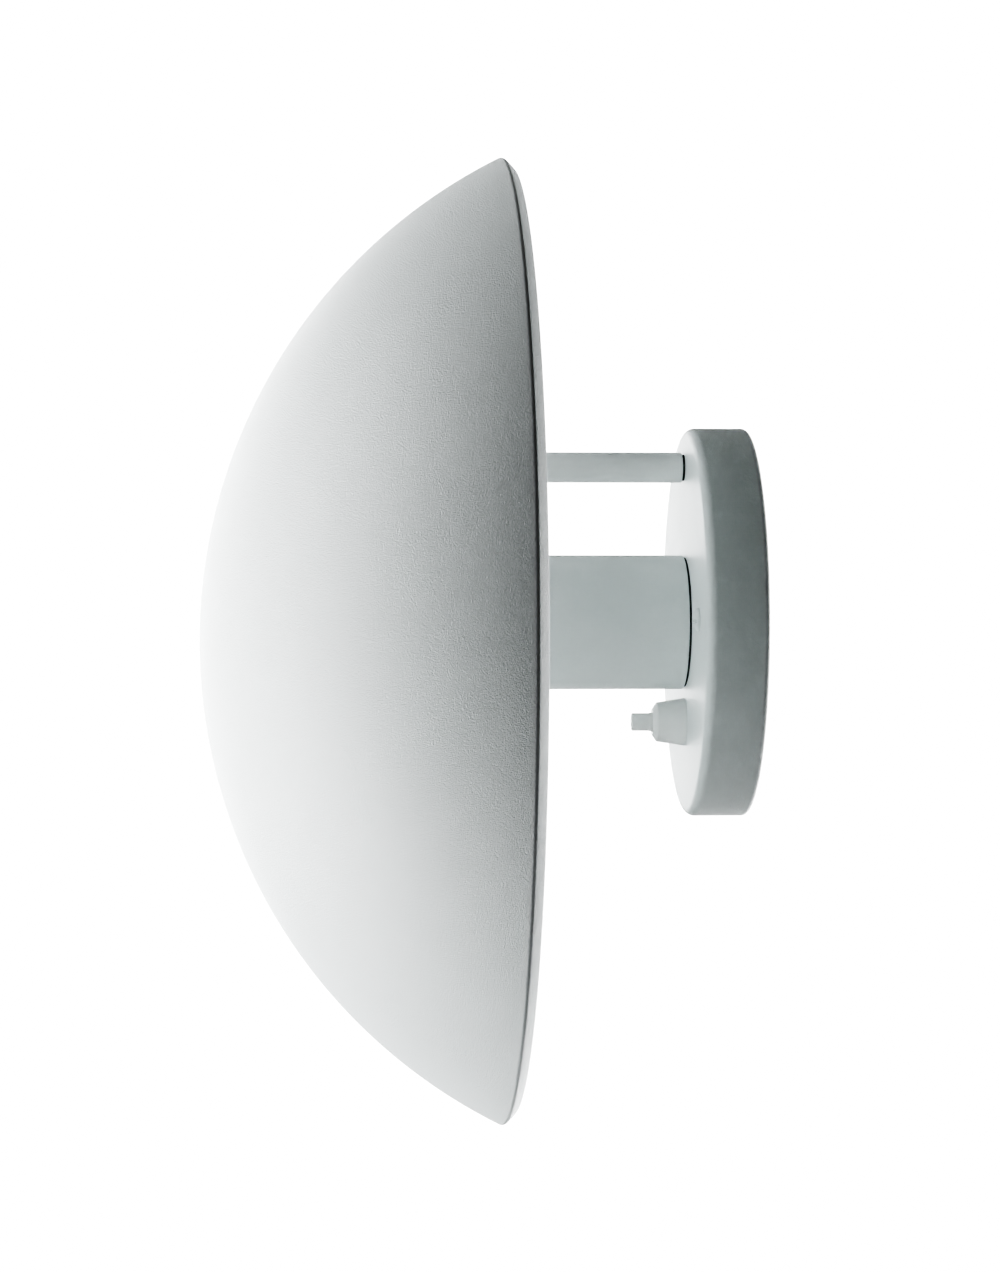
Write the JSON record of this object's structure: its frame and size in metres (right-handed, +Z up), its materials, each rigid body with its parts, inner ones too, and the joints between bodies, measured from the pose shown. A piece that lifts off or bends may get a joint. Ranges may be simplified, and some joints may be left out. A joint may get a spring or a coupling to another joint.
{
  "type": "wall lamp",
  "caption": "Wall lamp with a wide domed shade held on a rod in front of a round canopy, a lampholder tube behind the shade and a push switch.",
  "frame": {"origin": "midway between the wall screws, on the wall plane, on the axis of the canopy and the lampholder tube", "axes": "+Z up, +Y into the wall (the lamp stands out along -Y), +X to the side of the clamp screw"},
  "size_m": [0.3799, 0.2158, 0.38],
  "materials": {
    "white_paint": "satin white powder paint with a fine texture",
    "shade_paint": "satin white powder paint with a fine texture",
    "zinc_steel": "bright zinc plate",
    "black_steel": "black finish, seen only in the open joint behind the tube and the rod",
    "socket_aluminium": "turned",
    "nickel": "nickel plate",
    "brass": "plain",
    "rubber_black": "matt",
    "switch_plastic": "moulded, satin",
    "dark_plastic": "moulded",
    "nylon": "natural nylon",
    "holder_plastic": "moulded, heat resistant",
    "ceramic": "unglazed ceramic, shown as a matt moulding",
    "opal_glass": "opal",
    "clear_glass": "clear",
    "black_glass": "black glass",
    "solder": "tinned",
    "filament_wire": "drawn wire",
    "lead_brown": "insulation",
    "lead_black": "insulation",
    "lead_blue": "insulation",
    "lead_green_yellow": "insulation"
  },
  "bodies": {
    "wall_unit": {"canopy": "white_paint", "wall_bracket": "zinc_steel", "cover_pillars": "zinc_steel", "cover_screws": "white_paint", "cable_grommet": "rubber_black", "terminal_block": "nylon", "terminal_inserts": "brass", "terminal_screws": "zinc_steel", "terminal_fixing_screws": "zinc_steel", "earth_screws": "zinc_steel", "earth_tag": "solder", "live_lead": "lead_brown", "switched_lead": "lead_black", "neutral_lead": "lead_blue", "earth_lead": "lead_green_yellow", "lamp_tube": "white_paint", "tube_base": "black_steel", "fixing_stem": "zinc_steel", "stem_nuts": "zinc_steel", "stem_lock_washer": "zinc_steel", "holder_cap": "holder_plastic", "holder_body": "holder_plastic", "holder_base": "ceramic", "holder_shell": "brass", "holder_contact": "brass", "holder_terminals": "brass", "shade_rod": "white_paint", "rod_stud": "zinc_steel", "rod_spacer": "black_steel", "rod_washer": "zinc_steel", "rod_nut": "zinc_steel", "switch_collar": "switch_plastic", "switch_bush": "brass", "switch_washer": "nylon", "switch_body": "dark_plastic", "switch_spring": "filament_wire", "switch_terminals": "brass"},
    "shade": {"shade": "shade_paint", "shade_pad": "zinc_steel", "rod_socket": "socket_aluminium", "socket_screw": "zinc_steel"},
    "clamp_washer": {"clamp_washer": "nickel"},
    "clamp_screw": {"clamp_screw": "nickel"},
    "bulb": {"bulb_glass": "opal_glass", "bulb_stem": "clear_glass", "bulb_filament": "filament_wire"},
    "bulb_cap": {"bulb_cap": "nickel", "bulb_insulator": "black_glass", "bulb_contact": "solder"},
    "button": {"switch_button": "switch_plastic"}
  },
  "joints": [
    {"name": "shade_slide", "type": "slide", "parent": "wall_unit", "child": "shade", "axis": [0, -1, 0], "range_m": [0, 0.02]},
    {"name": "clamp_washer_travel", "type": "slide", "parent": "shade", "child": "clamp_washer", "axis": [1, 0, 0], "range_m": [0, 0.0016]},
    {"name": "clamp_screw_turn", "type": "hinge", "parent": "clamp_washer", "child": "clamp_screw", "pos_m": [0, -0.178, 0.0613], "axis": [1, 0, 0], "range_deg": [0, 721]},
    {"name": "bulb_travel", "type": "slide", "parent": "wall_unit", "child": "bulb", "axis": [0, -1, 0], "range_m": [0, 0.01086]},
    {"name": "bulb_turn", "type": "hinge", "parent": "bulb", "child": "bulb_cap", "pos_m": [0, -0.09, 0], "axis": [0, -1, 0], "range_deg": [0, 1081]},
    {"name": "button_press", "type": "slide", "parent": "wall_unit", "child": "button", "axis": [0, 1, 0], "range_m": [0, 0.003], "stiffness_N_per_m": 500, "springref_m": -0.003, "deforming": ["switch_spring"]}
  ],
  "couplings": [
    {"joint": "clamp_screw_turn", "follows": "clamp_washer_travel", "rad_per_m": 7854},
    {"joint": "bulb_turn", "follows": "bulb_travel", "rad_per_m": 1735.7}
  ]
}
